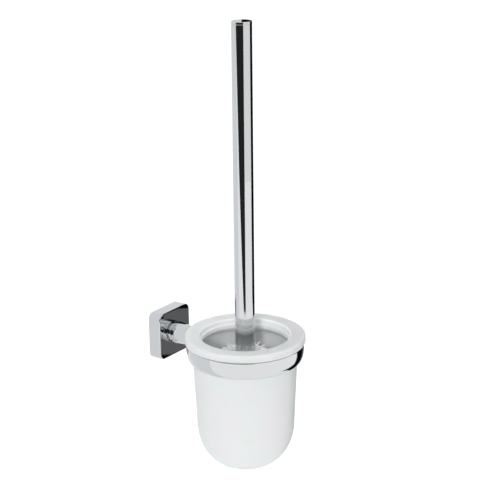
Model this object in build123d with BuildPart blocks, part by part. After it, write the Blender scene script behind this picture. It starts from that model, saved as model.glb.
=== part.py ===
# Wall-mounted toilet brush holder: a glass cup that hangs in a ring, and the brush that stands in it.
# Millimetres, +Z up. The origin is the centre of the back, on the wall plane, level with the arm's
# axis. The holder stands out along -Y, and the cup's upright axis is cup_reach from the wall.

import math
import os

from build123d import *

os.makedirs("parts", exist_ok=True)

# ---- Driving dimensions ------------------------------------------------------------------------
cup_reach = 94.0  # wall to the cup's axis

rosette_side = 45.0
rosette_depth = 13.0
rosette_corner = 6.25
rosette_edge = 0.8  # rounding of the front edge
rosette_front = 3.0  # thickness of the front wall
rosette_wall = 2.2  # thickness of the side walls
cavity_corner = 4.0
hook_width = 24.0
hook_tip_z = 15.6  # underside of the hook at the wall
hook_root_z = 17.2  # underside of the hook at its front
hook_front_y = -4.3
back_gap = 0.5  # hook and boss stand this far off the wall
boss_width = 9.0
boss_front_y = -6.5
boss_top_z = -17.6
root_overlap = 1.0  # hook and boss run this far into the rosette's walls

bracket_width = 36.0
bracket_back_half = 15.0  # half the height at the wall
bracket_front_half = 16.8  # half the height at the front, so both edges are undercut
bracket_depth = 4.5
wall_hole_spacing = 24.0
wall_hole_r = 2.25
wall_hole_head_r = 4.2

set_screw_r = 2.0
set_screw_y = -3.2
set_screw_tip_z = -16.8
set_screw_length = 5.0
set_screw_cone = 1.0
set_screw_key = 2.0  # across the flats
set_screw_key_depth = 2.0

washer_r = 5.8
washer_thick = 1.2
arm_screw_r = 3.0
arm_screw_length = 14.0
arm_screw_head_r = 5.0
arm_screw_head = 3.3
arm_screw_key = 4.0
arm_screw_key_depth = 2.0

neck_r = 8.5
neck_length = 2.4
collar_r = 10.3
collar_length = 3.0
edge_break = 0.4  # small bevel where two turned pieces meet
arm_end_r = 7.6
arm_thread_depth = 12.0
spigot_r = 4.0
spigot_end_y = -43.9
spigot_length = 11.5  # most of it inside the arm

ring_r = 53.6
ring_top = 7.7
ring_bottom = -8.6
ring_seat_r = 49.8  # wide upper bore, which holds the cup's seat
ring_seat_z = -2.2
ring_bore_r = 48.1
ring_lip_r = 49.6  # where the curved outside ends at the bottom
ring_curve_z = 3.0  # the outside is upright above this height
ring_top_edge = 0.5

seat_inner_r = 48.75
seat_wall = 1.0
seat_lip_r = 51.8

rim_r = 55.0
rim_top = 15.5
rim_thick = 7.0
rim_dish = 0.5  # the rim's top falls this much towards the mouth
rim_top_round = 1.8
rim_low_round = 0.9
mouth_r = 41.0
mouth_depth = 4.5  # depth of the widened mouth
mouth_round = 1.2
throat_round = 0.6
shoulder_round = 2.0
body_round = 3.0  # inside, where the shoulder meets the body
throat_r = 39.1
throat_length = 4.0
shoulder_drop = 5.0
body_top_r = 48.4  # outside, under the rim
body_low_r = 44.9  # outside, where the rounded bottom begins
body_low_z = -70.25
cup_bottom = -112.0
cup_foot_r = 12.5  # flat disc that the bottom ends in
floor_flat_r = 11.0  # the same on the inside
cup_wall = 4.4
cup_floor = 5.0

handle_r = 9.0
tube_wall = 1.0
tube_bottom = -2.0
handle_top = 298.5
cap_height = 2.5
cap_plug_length = 10.0
cap_edge = 0.5
insert_length = 18.0
stud_r = 4.0
stud_top = 12.0
stud_bottom = -18.0

core_r = 9.6
core_bottom = -96.0
row_count = 12
root_top_z = -8.0  # where the highest row leaves the core
root_low_z = -91.0
tip_top_z = -12.0  # where the highest row's tips are
tip_low_z = -99.5
row_root_half = 1.8  # half of a row's thickness at the core
row_tip_half = 3.3
row_max_r = 35.5
row_wall_gap = 1.8  # least gap from a row's tips to the cup
crown_root_z = -4.2  # short tuft round the top of the core
crown_root_half = 1.2
crown_tip_z = -4.6
crown_tip_half = 1.8
crown_r = 24.0
end_tuft_top_r = 5.0
end_tuft_low_r = 11.0

turn_gap = 0.3  # between faces that turn or slide past each other
fixed_gap = 0.02  # radial gap in fixed threads and press fits
thread_gap = 0.06  # radial gap in the thread that is turned by hand
cut_margin = 1.0  # a cutting shape runs this far past the face it leaves by

# ---- Planes, axes and derived sizes ------------------------------------------------------------
wall_plane = Plane.XZ  # its normal, -Y, points away from the wall
side_plane = Plane.YZ
turning_plane = Plane.XY  # radius along X, distance from the wall along Y
cup_plane = Plane.XZ.offset(cup_reach)  # radius along local x, height along local y
cup_axis = Axis((0, -cup_reach, 0), (0, 0, 1))

cavity_side = rosette_side - 2 * rosette_wall
cavity_half = cavity_side / 2
cavity_depth = rosette_depth - rosette_front
neck_front_y = -rosette_depth - neck_length
collar_front_y = neck_front_y - collar_length
rim_low = rim_top - rim_thick
mouth_top = rim_top - rim_dish
throat_top = mouth_top - mouth_depth
throat_low = throat_top - throat_length
shoulder_low = throat_low - shoulder_drop
inner_top_r = body_top_r - cup_wall
inner_low_r = body_low_r - cup_wall
floor_z = cup_bottom + cup_floor
bowl_depth = body_low_z - floor_z
tube_inner_r = handle_r - tube_wall
core_top = tube_bottom - turn_gap


def bowl_radius(z):
    """Inside radius of the cup at height z, below its shoulder."""
    if z >= body_low_z:
        share = (z - body_low_z) / (shoulder_low - body_low_z)
        return inner_low_r + (inner_top_r - inner_low_r) * share
    depth = min((body_low_z - z) / bowl_depth, 1.0)
    return floor_flat_r + (inner_low_r - floor_flat_r) * math.sqrt(1.0 - depth**2)


# ---- Wall bracket: a plate with undercut edges and two countersunk holes ------------------------
with BuildPart() as wall_bracket:
    with BuildSketch(side_plane):
        with BuildLine():
            Polyline(
                (0, -bracket_back_half),
                (0, bracket_back_half),
                (-bracket_depth, bracket_front_half),
                (-bracket_depth, -bracket_front_half),
                close=True,
            )
        make_face()
    extrude(amount=bracket_width / 2, both=True)
    with Locations(wall_plane.offset(bracket_depth)):
        with GridLocations(wall_hole_spacing, 0, 2, 1):
            CounterSinkHole(radius=wall_hole_r, counter_sink_radius=wall_hole_head_r)

wall_bracket.part.label = "wall_bracket"
export_step(wall_bracket.part, "parts/wall_bracket.step")

# ---- Rosette: a square cover that hooks over the bracket and is held by a set screw below -------
with BuildPart() as rosette:
    with BuildSketch(wall_plane):
        RectangleRounded(rosette_side, rosette_side, rosette_corner)
    extrude(amount=rosette_depth)
    fillet(rosette.faces().sort_by(Axis.Y)[0].edges(), radius=rosette_edge)
    with BuildSketch(wall_plane):
        RectangleRounded(cavity_side, cavity_side, cavity_corner)
    extrude(amount=cavity_depth, mode=Mode.SUBTRACT)
    with BuildSketch(side_plane):
        with BuildLine():
            Polyline(
                (-back_gap, cavity_half + root_overlap),
                (-back_gap, hook_tip_z),
                (hook_front_y, hook_root_z),
                (hook_front_y, cavity_half + root_overlap),
                close=True,
            )
        make_face()
    extrude(amount=hook_width / 2, both=True)
    with BuildSketch(side_plane):
        with BuildLine():
            Polyline(
                (-back_gap, boss_top_z),
                (boss_front_y, boss_top_z),
                (boss_front_y, -cavity_half - root_overlap),
                (-back_gap, -cavity_half - root_overlap),
                close=True,
            )
        make_face()
    extrude(amount=boss_width / 2, both=True)
    with BuildSketch(Plane.XY.offset(boss_top_z)):
        with Locations((0, set_screw_y)):
            Circle(set_screw_r + fixed_gap)
    extrude(amount=-(rosette_side / 2 + boss_top_z + cut_margin), mode=Mode.SUBTRACT)
    with BuildSketch(wall_plane.offset(cavity_depth)):
        Circle(arm_screw_r + fixed_gap)
    extrude(amount=rosette_front, mode=Mode.SUBTRACT)

rosette.part.label = "rosette"
export_step(rosette.part, "parts/rosette.step")

# ---- Set screw: headless, with a hexagon socket below and a cone that meets the bracket ---------
with BuildPart() as set_screw:
    with BuildSketch(Plane.XY.offset(set_screw_tip_z - set_screw_length)):
        with Locations((0, set_screw_y)):
            Circle(set_screw_r)
    extrude(amount=set_screw_length)
    chamfer(set_screw.edges().group_by(Axis.Z)[-1], length=set_screw_cone)
    with BuildSketch(Plane.XY.offset(set_screw_tip_z - set_screw_length)):
        with Locations((0, set_screw_y)):
            RegularPolygon(radius=set_screw_key / 2, side_count=6, major_radius=False)
    extrude(amount=set_screw_key_depth, mode=Mode.SUBTRACT)

set_screw.part.label = "set_screw"
export_step(set_screw.part, "parts/set_screw.step")

# ---- Washer and screw inside the rosette, which pull the arm against its front -------------------
with BuildPart() as arm_washer:
    with BuildSketch(wall_plane.offset(cavity_depth - washer_thick)):
        Circle(washer_r)
        Circle(arm_screw_r + fixed_gap, mode=Mode.SUBTRACT)
    extrude(amount=washer_thick)

arm_washer.part.label = "arm_washer"
export_step(arm_washer.part, "parts/arm_washer.step")

head_back = cavity_depth - washer_thick - arm_screw_head
with BuildPart() as arm_screw:
    with BuildSketch(wall_plane.offset(head_back)):
        Circle(arm_screw_head_r)
    extrude(amount=arm_screw_head)
    chamfer(arm_screw.edges().group_by(Axis.Y)[-1], length=edge_break)
    with BuildSketch(wall_plane.offset(head_back + arm_screw_head)):
        Circle(arm_screw_r)
    extrude(amount=arm_screw_length)
    with BuildSketch(wall_plane.offset(head_back)):
        RegularPolygon(radius=arm_screw_key / 2, side_count=6, major_radius=False)
    extrude(amount=arm_screw_key_depth, mode=Mode.SUBTRACT)

arm_screw.part.label = "arm_screw"
export_step(arm_screw.part, "parts/arm_screw.step")

# ---- Collar: a narrow neck on the rosette, then a disc ------------------------------------------
with BuildPart() as arm_collar:
    with BuildSketch(turning_plane):
        with BuildLine():
            Polyline(
                (arm_screw_r + fixed_gap, -rosette_depth),
                (neck_r, -rosette_depth),
                (neck_r, neck_front_y),
                (collar_r - edge_break, neck_front_y),
                (collar_r, neck_front_y - edge_break),
                (collar_r, collar_front_y + edge_break),
                (collar_r - edge_break, collar_front_y),
                (arm_screw_r + fixed_gap, collar_front_y),
                close=True,
            )
        make_face()
    revolve(axis=Axis.Y)

arm_collar.part.label = "arm_collar"
export_step(arm_collar.part, "parts/arm_collar.step")

# ---- Arm: a tapered bar, saddled to the ring, with a spigot into it ------------------------------
with BuildPart() as ring_outside:
    with BuildSketch(cup_plane):
        with BuildLine():
            top_corner = (ring_r, ring_top)
            low_corner = (ring_lip_r, ring_bottom)
            Line((0, ring_top), top_corner)
            Line(top_corner, (ring_r, ring_curve_z))
            EllipticalCenterArc(
                (ring_lip_r, ring_curve_z),
                x_radius=ring_r - ring_lip_r,
                y_radius=ring_curve_z - ring_bottom,
                start_angle=270,
                arc_size=90,
            )
            Line(low_corner, (0, ring_bottom))
            Line((0, ring_bottom), (0, ring_top))
        make_face()
    revolve(axis=cup_axis)

with BuildPart() as arm:
    with BuildSketch(turning_plane):
        with BuildLine():
            Polyline(
                (0, collar_front_y),
                (collar_r - edge_break, collar_front_y),
                (collar_r, collar_front_y - edge_break),
                (arm_end_r, -cup_reach + ring_r),
                (arm_end_r, -cup_reach + ring_seat_r),
                (0, -cup_reach + ring_seat_r),
                close=True,
            )
        make_face()
    revolve(axis=Axis.Y)
    add(ring_outside.part, mode=Mode.SUBTRACT)
    with BuildSketch(wall_plane.offset(-spigot_end_y)):
        Circle(spigot_r)
    extrude(amount=-spigot_length)
    with BuildSketch(wall_plane.offset(-collar_front_y)):
        Circle(arm_screw_r + fixed_gap)
    extrude(amount=arm_thread_depth, mode=Mode.SUBTRACT)

arm.part.label = "arm"
export_step(arm.part, "parts/arm.step")

# ---- Ring: bowl-shaped outside, stepped bore, and a hole for the arm's spigot --------------------
with BuildPart() as ring:
    add(ring_outside.part)
    chamfer(ring.edges().group_by(Axis.Z)[-1], length=ring_top_edge)
    with BuildSketch(Plane.XY.offset(ring_bottom)):
        with Locations((0, -cup_reach)):
            Circle(ring_bore_r)
    extrude(amount=ring_top - ring_bottom, mode=Mode.SUBTRACT)
    with BuildSketch(Plane.XY.offset(ring_seat_z)):
        with Locations((0, -cup_reach)):
            Circle(ring_seat_r)
    extrude(amount=ring_top - ring_seat_z, mode=Mode.SUBTRACT)
    with BuildSketch(wall_plane.offset(cup_reach - ring_r - cut_margin)):
        Circle(spigot_r + fixed_gap)
    extrude(amount=ring_r - ring_bore_r + 2 * cut_margin, mode=Mode.SUBTRACT)

ring.part.label = "ring"
export_step(ring.part, "parts/ring.step")

# ---- Seat: a thin clear lining that keeps the glass off the metal --------------------------------
with BuildPart() as cup_seat:
    with BuildSketch(cup_plane):
        with BuildLine():
            Polyline(
                (seat_inner_r, ring_seat_z),
                (seat_inner_r + seat_wall, ring_seat_z),
                (seat_inner_r + seat_wall, ring_top),
                (seat_lip_r, ring_top),
                (seat_lip_r, rim_low),
                (seat_inner_r, rim_low),
                close=True,
            )
        make_face()
    revolve(axis=cup_axis)

cup_seat.part.label = "cup_seat"
export_step(cup_seat.part, "parts/cup_seat.step")

# ---- Cup: wide rim, stepped mouth, slightly tapered body and a rounded bottom --------------------
with BuildPart() as cup:
    with BuildSketch(cup_plane):
        with BuildLine():
            Line((0, cup_bottom), (cup_foot_r, cup_bottom))
            EllipticalCenterArc(
                (cup_foot_r, body_low_z),
                x_radius=body_low_r - cup_foot_r,
                y_radius=body_low_z - cup_bottom,
                start_angle=270,
                arc_size=90,
            )
            Line((body_low_r, body_low_z), (body_top_r, rim_low))
            FilletPolyline(
                (body_top_r, rim_low),
                (rim_r, rim_low),
                (rim_r, rim_top),
                (mouth_r, mouth_top),
                (mouth_r, throat_top),
                (throat_r, throat_top),
                (throat_r, throat_low),
                (inner_top_r, shoulder_low),
                (inner_low_r, body_low_z),
                radius=[
                    rim_low_round,
                    rim_top_round,
                    mouth_round,
                    throat_round,
                    throat_round,
                    shoulder_round,
                    body_round,
                ],
            )
            EllipticalCenterArc(
                (floor_flat_r, body_low_z),
                x_radius=inner_low_r - floor_flat_r,
                y_radius=bowl_depth,
                start_angle=270,
                arc_size=90,
            )
            Line((floor_flat_r, floor_z), (0, floor_z))
            Line((0, floor_z), (0, cup_bottom))
        make_face()
    revolve(axis=cup_axis)

cup.part.label = "cup"
export_step(cup.part, "parts/cup.step")

# ---- Handle: a tube, its cap, and the threaded insert that the brush head screws to --------------
with BuildPart() as handle_tube:
    with BuildSketch(Plane.XY.offset(tube_bottom)):
        with Locations((0, -cup_reach)):
            Circle(handle_r)
            Circle(tube_inner_r, mode=Mode.SUBTRACT)
    extrude(amount=handle_top - cap_height - tube_bottom)

handle_tube.part.label = "handle_tube"
export_step(handle_tube.part, "parts/handle_tube.step")

with BuildPart() as handle_cap:
    with BuildSketch(Plane.XY.offset(handle_top - cap_height)):
        with Locations((0, -cup_reach)):
            Circle(handle_r)
    extrude(amount=cap_height)
    fillet(handle_cap.edges().group_by(Axis.Z)[-1], radius=cap_edge)
    with BuildSketch(Plane.XY.offset(handle_top - cap_height)):
        with Locations((0, -cup_reach)):
            Circle(tube_inner_r - fixed_gap)
    extrude(amount=-cap_plug_length)

handle_cap.part.label = "handle_cap"
export_step(handle_cap.part, "parts/handle_cap.step")

with BuildPart() as handle_insert:
    with BuildSketch(Plane.XY.offset(tube_bottom)):
        with Locations((0, -cup_reach)):
            Circle(tube_inner_r - fixed_gap)
            Circle(stud_r + fixed_gap, mode=Mode.SUBTRACT)
    extrude(amount=insert_length)

handle_insert.part.label = "handle_insert"
export_step(handle_insert.part, "parts/handle_insert.step")

with BuildPart() as handle_stud:
    with BuildSketch(Plane.XY.offset(stud_bottom)):
        with Locations((0, -cup_reach)):
            Circle(stud_r)
    extrude(amount=stud_top - stud_bottom)
    chamfer(handle_stud.edges().filter_by(GeomType.CIRCLE), length=edge_break)

handle_stud.part.label = "handle_stud"
export_step(handle_stud.part, "parts/handle_stud.step")

# ---- Brush head: a core with a threaded socket, rows of bristles round it, tufts at its ends --
with BuildPart() as head_core:
    with BuildSketch(Plane.XY.offset(core_bottom)):
        with Locations((0, -cup_reach)):
            Circle(core_r)
    extrude(amount=core_top - core_bottom)
    chamfer(head_core.edges().group_by(Axis.Z)[0], length=core_r - end_tuft_top_r)
    with BuildSketch(Plane.XY.offset(core_top)):
        with Locations((0, -cup_reach)):
            Circle(stud_r + thread_gap)
    extrude(amount=stud_bottom - turn_gap - core_top, mode=Mode.SUBTRACT)

head_core.part.label = "head_core"
export_step(head_core.part, "parts/head_core.step")

for number in range(row_count):
    share = number / (row_count - 1)
    root_z = root_top_z + (root_low_z - root_top_z) * share
    tip_z = tip_top_z + (tip_low_z - tip_top_z) * share
    tip_r = min(row_max_r, bowl_radius(tip_z - row_tip_half) - row_wall_gap)
    with BuildPart() as bristle_row:
        with BuildSketch(cup_plane):
            with BuildLine():
                Polyline(
                    (core_r + fixed_gap, root_z - row_root_half),
                    (tip_r, tip_z - row_tip_half),
                    (tip_r, tip_z + row_tip_half),
                    (core_r + fixed_gap, root_z + row_root_half),
                    close=True,
                )
            make_face()
        revolve(axis=cup_axis)
    row_name = f"bristle_row_{number + 1:02d}"
    bristle_row.part.label = row_name
    export_step(bristle_row.part, f"parts/{row_name}.step")

with BuildPart() as crown_tuft:
    with BuildSketch(cup_plane):
        with BuildLine():
            Polyline(
                (core_r + fixed_gap, crown_root_z - crown_root_half),
                (crown_r, crown_tip_z - crown_tip_half),
                (crown_r, crown_tip_z + crown_tip_half),
                (core_r + fixed_gap, crown_root_z + crown_root_half),
                close=True,
            )
        make_face()
    revolve(axis=cup_axis)

crown_tuft.part.label = "crown_tuft"
export_step(crown_tuft.part, "parts/crown_tuft.step")

with BuildPart() as end_tuft:
    with BuildSketch(cup_plane):
        with BuildLine():
            Polyline(
                (0, core_bottom - fixed_gap),
                (end_tuft_top_r, core_bottom - fixed_gap),
                (end_tuft_low_r, floor_z + turn_gap),
                (0, floor_z + turn_gap),
                close=True,
            )
        make_face()
    revolve(axis=cup_axis)

end_tuft.part.label = "end_tuft"
export_step(end_tuft.part, "parts/end_tuft.step")
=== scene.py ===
import math

import bmesh
import bpy
import numpy as np
from mathutils import Matrix, Vector


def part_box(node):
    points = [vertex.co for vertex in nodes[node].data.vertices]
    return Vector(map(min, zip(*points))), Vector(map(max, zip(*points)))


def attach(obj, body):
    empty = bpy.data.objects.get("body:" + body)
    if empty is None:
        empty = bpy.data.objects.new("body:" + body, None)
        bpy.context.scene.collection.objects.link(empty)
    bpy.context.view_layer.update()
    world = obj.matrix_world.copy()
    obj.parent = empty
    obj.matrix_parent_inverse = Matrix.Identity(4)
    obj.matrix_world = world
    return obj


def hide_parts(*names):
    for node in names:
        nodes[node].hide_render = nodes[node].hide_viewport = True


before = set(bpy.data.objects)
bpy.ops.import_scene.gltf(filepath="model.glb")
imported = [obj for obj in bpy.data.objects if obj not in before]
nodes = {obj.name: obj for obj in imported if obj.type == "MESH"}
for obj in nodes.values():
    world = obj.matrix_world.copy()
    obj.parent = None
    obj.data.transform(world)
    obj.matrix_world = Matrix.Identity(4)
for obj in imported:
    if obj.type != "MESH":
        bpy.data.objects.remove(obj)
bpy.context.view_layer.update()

# Wall-mounted toilet brush holder. Metres, the wall is the plane y = 0 and the cup stands out along -Y.
# Every place comes from the frame's boxes; the dictionaries hold only what a user would change.

mm = 0.001
turn = 2 * math.pi


def nodeBox(name):
    # lowest and highest corner of a CAD node as plain arrays
    low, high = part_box(name)
    return np.array(low), np.array(high)


def meshPoints(mesh):
    # a mesh's points as one array
    points = np.empty(len(mesh.vertices) * 3)
    mesh.vertices.foreach_get("co", points)
    return points.reshape(-1, 3)


def linear(hexColour, alpha=1.0):
    # sRGB hex to linear light: the one place where colours are converted
    value = np.array([int(hexColour[i:i + 2], 16) for i in (1, 3, 5)]) / 255.0
    value = np.where(value <= 0.04045, value / 12.92, ((value + 0.055) / 1.055) ** 2.4)
    return (*value.tolist(), alpha)


def addNode(tree, kind, settings=None, links=None, stops=()):
    # adds a node, sets its properties or sockets by name, links its inputs to other nodes' sockets, and gives
    # a colour ramp its (position, colour) stops
    node = tree.nodes.new(kind)
    for key, value in (settings or {}).items():
        if isinstance(key, str) and hasattr(node, key):
            setattr(node, key, value)
        else:
            node.inputs[key].default_value = value
    for key, source in (links or {}).items():
        tree.links.new(source, node.inputs[key])
    for number, (position, colour) in enumerate(stops):
        element = node.color_ramp.elements[number] if number < 2 else node.color_ramp.elements.new(position)
        element.position = position
        element.color = colour
    return node


def startMaterial(name):
    material = bpy.data.materials.new(name)
    material.use_nodes = True
    tree = material.node_tree
    tree.nodes.clear()
    shader = addNode(tree, "ShaderNodeBsdfPrincipled")
    addNode(tree, "ShaderNodeOutputMaterial", links={"Surface": shader.outputs[0]})
    place = addNode(tree, "ShaderNodeTexCoord").outputs["Object"]
    return material, tree, shader, place


def roundedLine(corners, radii, steps=8, hold=0.12 * mm):
    # a run of straight lines whose corners are arcs: at each corner the arc is tangent to both runs,
    # and a holding point stands just off each end of it, so that flat stretches shade flat
    corners = np.array(corners, float)
    points = [corners[0]]
    for before, corner, after, radius in zip(corners[:-2], corners[1:-1], corners[2:], radii):
        towards = (before - corner) / np.linalg.norm(before - corner)
        onward = (after - corner) / np.linalg.norm(after - corner)
        half = math.acos(np.clip(towards @ onward, -1, 1)) / 2
        if radius <= 0 or half > 0.499 * math.pi:
            points.append(corner)
            continue
        reach = radius / math.tan(half)
        middle = (towards + onward) / np.linalg.norm(towards + onward)
        centre = corner + middle * radius / math.sin(half)
        first = corner + towards * reach - centre
        last = corner + onward * reach - centre
        sweep = math.pi - 2 * half
        share = np.linspace(0, 1, steps + 1)[:, None]
        arc = (np.sin((1 - share) * sweep) * first + np.sin(share * sweep) * last) / math.sin(sweep)
        points.append(centre + first + towards * hold)
        points.extend(centre + arc)
        points.append(centre + last + onward * hold)
    points.append(corners[-1])
    return np.array(points)


def quarterEllipse(centre, wide, tall, fromAngle, toAngle, steps):
    # points on an ellipse: centre + (wide cos, tall sin)
    angle = np.radians(np.linspace(fromAngle, toAngle, steps + 1))
    return np.stack([centre[0] + wide * np.cos(angle), centre[1] + tall * np.sin(angle)], 1)


def thicken(profile, longest):
    # puts extra points on long straight stretches of a profile, none further apart than longest
    made = [profile[:1]]
    for start, end in zip(profile[:-1], profile[1:]):
        count = max(1, math.ceil(np.linalg.norm(end - start) / longest))
        share = np.linspace(0, 1, count + 1)[1:, None]
        made.append(start + (end - start) * share)
    return np.concatenate(made)


def gridFaces(rows, columns, closeRows=False, closeColumns=True):
    # quads of a grid of points, as indices: each joins a point to the next in its row and column
    row = np.arange(rows if closeRows else rows - 1)[:, None]
    column = np.arange(columns if closeColumns else columns - 1)[None, :]
    nextRow, nextColumn = (row + 1) % rows, (column + 1) % columns
    corners = [row * columns + column, row * columns + nextColumn,
               nextRow * columns + nextColumn, nextRow * columns + column]
    return np.stack([np.broadcast_to(c, corners[2].shape) for c in corners], -1).reshape(-1, 4)


def buildMesh(name, points, faces, sharp=35, weld=1e-7):
    # arrays to a mesh: doubles at poles and seams are welded, normals face outwards, sharp edges marked
    mesh = bpy.data.meshes.new(name)
    mesh.from_pydata(points.reshape(-1, 3).tolist(), [], faces.tolist())
    work = bmesh.new()
    work.from_mesh(mesh)
    bmesh.ops.remove_doubles(work, verts=work.verts, dist=weld)
    bmesh.ops.dissolve_degenerate(work, edges=work.edges, dist=weld)
    bmesh.ops.recalc_face_normals(work, faces=work.faces)
    work.to_mesh(mesh)
    work.free()
    mesh.polygons.foreach_set("use_smooth", np.ones(len(mesh.polygons), bool))
    mesh.set_sharp_from_angle(angle=math.radians(sharp))
    piece = bpy.data.objects.new(name, mesh)
    bpy.context.scene.collection.objects.link(piece)
    return piece


def lathe(name, profile, origin, axis="Z", around=192, closed=False, sharp=35):
    # surface of revolution: origin + radius (cos a, sin a) across the axis + height along it
    angle = np.linspace(0, turn, around, endpoint=False)
    radius, height = profile[:, :1], profile[:, 1:]
    across, beside = radius * np.cos(angle), radius * np.sin(angle)
    along = np.broadcast_to(height, across.shape)
    order = [across, beside, along] if axis == "Z" else [across, along, beside]
    points = np.stack(order, -1) + np.array(origin)
    return buildMesh(name, points, gridFaces(len(profile), around, closeRows=closed), sharp)


def settle(piece, material, body, stands):
    # gives a finished piece its material and the body it rides on, and hides the CAD nodes it stands for
    piece.data.materials.clear()
    piece.data.materials.append(material)
    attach(piece, body)
    if stands:
        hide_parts(*stands)
    return piece


def chromePlate():
    # Bright nickel-chrome on polished brass: a near-perfect mirror. The polishing wheel leaves a very
    # long, shallow waviness that bends reflections a little, and faint haze where hands wipe it. Real wipe
    # marks are hairlines under 0.1 mm, too fine to show, so they are drawn 0.9 mm wide.
    size = {"tint": "#d0d2d4", "roughness": 0.035, "haze": 0.03, "wave": 22 * mm, "waveHeight": 0.02 * mm,
            "hazePatch": 16 * mm, "wipe": 0.9 * mm, "wipeStretch": 0.06}
    material, tree, shader, place = startMaterial("chromePlatePolished")
    shader.inputs["Base Color"].default_value = linear(size["tint"])
    shader.inputs["Metallic"].default_value = 1.0
    patches = addNode(tree, "ShaderNodeTexNoise", {"Scale": 1 / size["hazePatch"], "Detail": 4.0},
                      {"Vector": place})
    stretch = addNode(tree, "ShaderNodeMapping", {"Scale": (1.0, 1.0, size["wipeStretch"])}, {"Vector": place})
    wipes = addNode(tree, "ShaderNodeTexNoise", {"Scale": 1 / size["wipe"], "Detail": 2.0},
                    {"Vector": stretch.outputs[0]})
    both = addNode(tree, "ShaderNodeMath", {"operation": "MULTIPLY"},
                   {0: patches.outputs["Fac"], 1: wipes.outputs["Fac"]})
    rough = addNode(tree, "ShaderNodeMapRange",
                    {"From Min": 0.1, "From Max": 0.5, "To Min": size["roughness"],
                     "To Max": size["roughness"] + size["haze"]}, {0: both.outputs[0]})
    tree.links.new(rough.outputs[0], shader.inputs["Roughness"])
    wave = addNode(tree, "ShaderNodeTexNoise", {"Scale": 1 / size["wave"], "Detail": 1.0}, {"Vector": place})
    bump = addNode(tree, "ShaderNodeBump", {"Strength": 1.0, "Distance": size["waveHeight"]},
                   {"Height": wave.outputs["Fac"]})
    tree.links.new(bump.outputs[0], shader.inputs["Normal"])
    return material


def frostedGlass():
    # Soda glass, mould-blown and acid-etched all over: light goes through it scattered, so things behind
    # show only as soft tones. The etch is an even grain, a little cloudy, with a breath of green and rose;
    # real pits are a few hundredths of a millimetre, too fine to show, so the grain is drawn at 0.35 mm.
    # Light that enters the glass spreads sideways in it too, so the bowl glows a little. The inside is
    # given a whiter colour than the outside, painted light on the shaded inside of the cup, and is less clear.
    size = {"green": "#e9f0ed", "white": "#edf0f0", "rose": "#efedf0", "inner": "#f4f6f6", "cloud": 24 * mm,
            "clear": 0.34, "clearInside": 0.12, "spread": 4 * mm, "roughness": 0.4, "unevenness": 0.04,
            "grain": 0.35 * mm, "grainHeight": 0.012 * mm}
    material, tree, shader, place = startMaterial("sodaGlassAcidEtched")
    cloud = addNode(tree, "ShaderNodeTexNoise", {"Scale": 1 / size["cloud"], "Detail": 3.0}, {"Vector": place})
    tone = addNode(tree, "ShaderNodeValToRGB", links={0: cloud.outputs["Fac"]},
                   stops=[(0.36, linear(size["green"])), (0.5, linear(size["white"])),
                          (0.64, linear(size["rose"]))])
    inside = addNode(tree, "ShaderNodeAttribute", {"attribute_name": "inside"})
    # painted light: the inside gets the whiter inner tone in place of the etch's own tones
    both = addNode(tree, "ShaderNodeMixRGB", {"Color2": linear(size["inner"])},
                   {"Fac": inside.outputs["Fac"], "Color1": tone.outputs[0]})
    tree.links.new(both.outputs[0], shader.inputs["Base Color"])
    rough = addNode(tree, "ShaderNodeMapRange",
                    {"From Min": 0.3, "From Max": 0.7, "To Min": size["roughness"] - size["unevenness"],
                     "To Max": size["roughness"] + size["unevenness"]}, {0: cloud.outputs["Fac"]})
    tree.links.new(rough.outputs[0], shader.inputs["Roughness"])
    shader.inputs["IOR"].default_value = 1.5
    clear = addNode(tree, "ShaderNodeMapRange", {"To Min": size["clear"], "To Max": size["clearInside"]},
                    {0: inside.outputs["Fac"]})
    tree.links.new(clear.outputs[0], shader.inputs["Transmission Weight"])
    shader.inputs["Subsurface Weight"].default_value = 1.0
    shader.inputs["Subsurface Radius"].default_value = (1.0, 1.0, 1.0)
    shader.inputs["Subsurface Scale"].default_value = size["spread"]
    grain = addNode(tree, "ShaderNodeTexNoise", {"Scale": 1 / size["grain"], "Detail": 2.0}, {"Vector": place})
    bump = addNode(tree, "ShaderNodeBump", {"Strength": 1.0, "Distance": size["grainHeight"]},
                   {"Height": grain.outputs["Fac"]})
    tree.links.new(bump.outputs[0], shader.inputs["Normal"])
    return material


def nylonFilament():
    # Drawn nylon: white and satin, with a soft sheen along each filament. The roots are painted darker than
    # the tips: painted shade where the filaments crowd together at the core.
    size = {"root": "#dfe3e4", "tip": "#fbfcfc", "roughness": 0.38, "sheen": 0.25}
    material, tree, shader, place = startMaterial("nylonFilamentDrawn")
    along = addNode(tree, "ShaderNodeAttribute", {"attribute_name": "along"})
    # painted shade: the colour runs from the darker root tone to the light tip tone along each filament
    tone = addNode(tree, "ShaderNodeValToRGB", links={0: along.outputs["Fac"]},
                   stops=[(0.0, linear(size["root"])), (0.8, linear(size["tip"]))])
    tree.links.new(tone.outputs[0], shader.inputs["Base Color"])
    shader.inputs["Roughness"].default_value = size["roughness"]
    shader.inputs["IOR"].default_value = 1.53
    shader.inputs["Sheen Weight"].default_value = size["sheen"]
    return material


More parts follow.
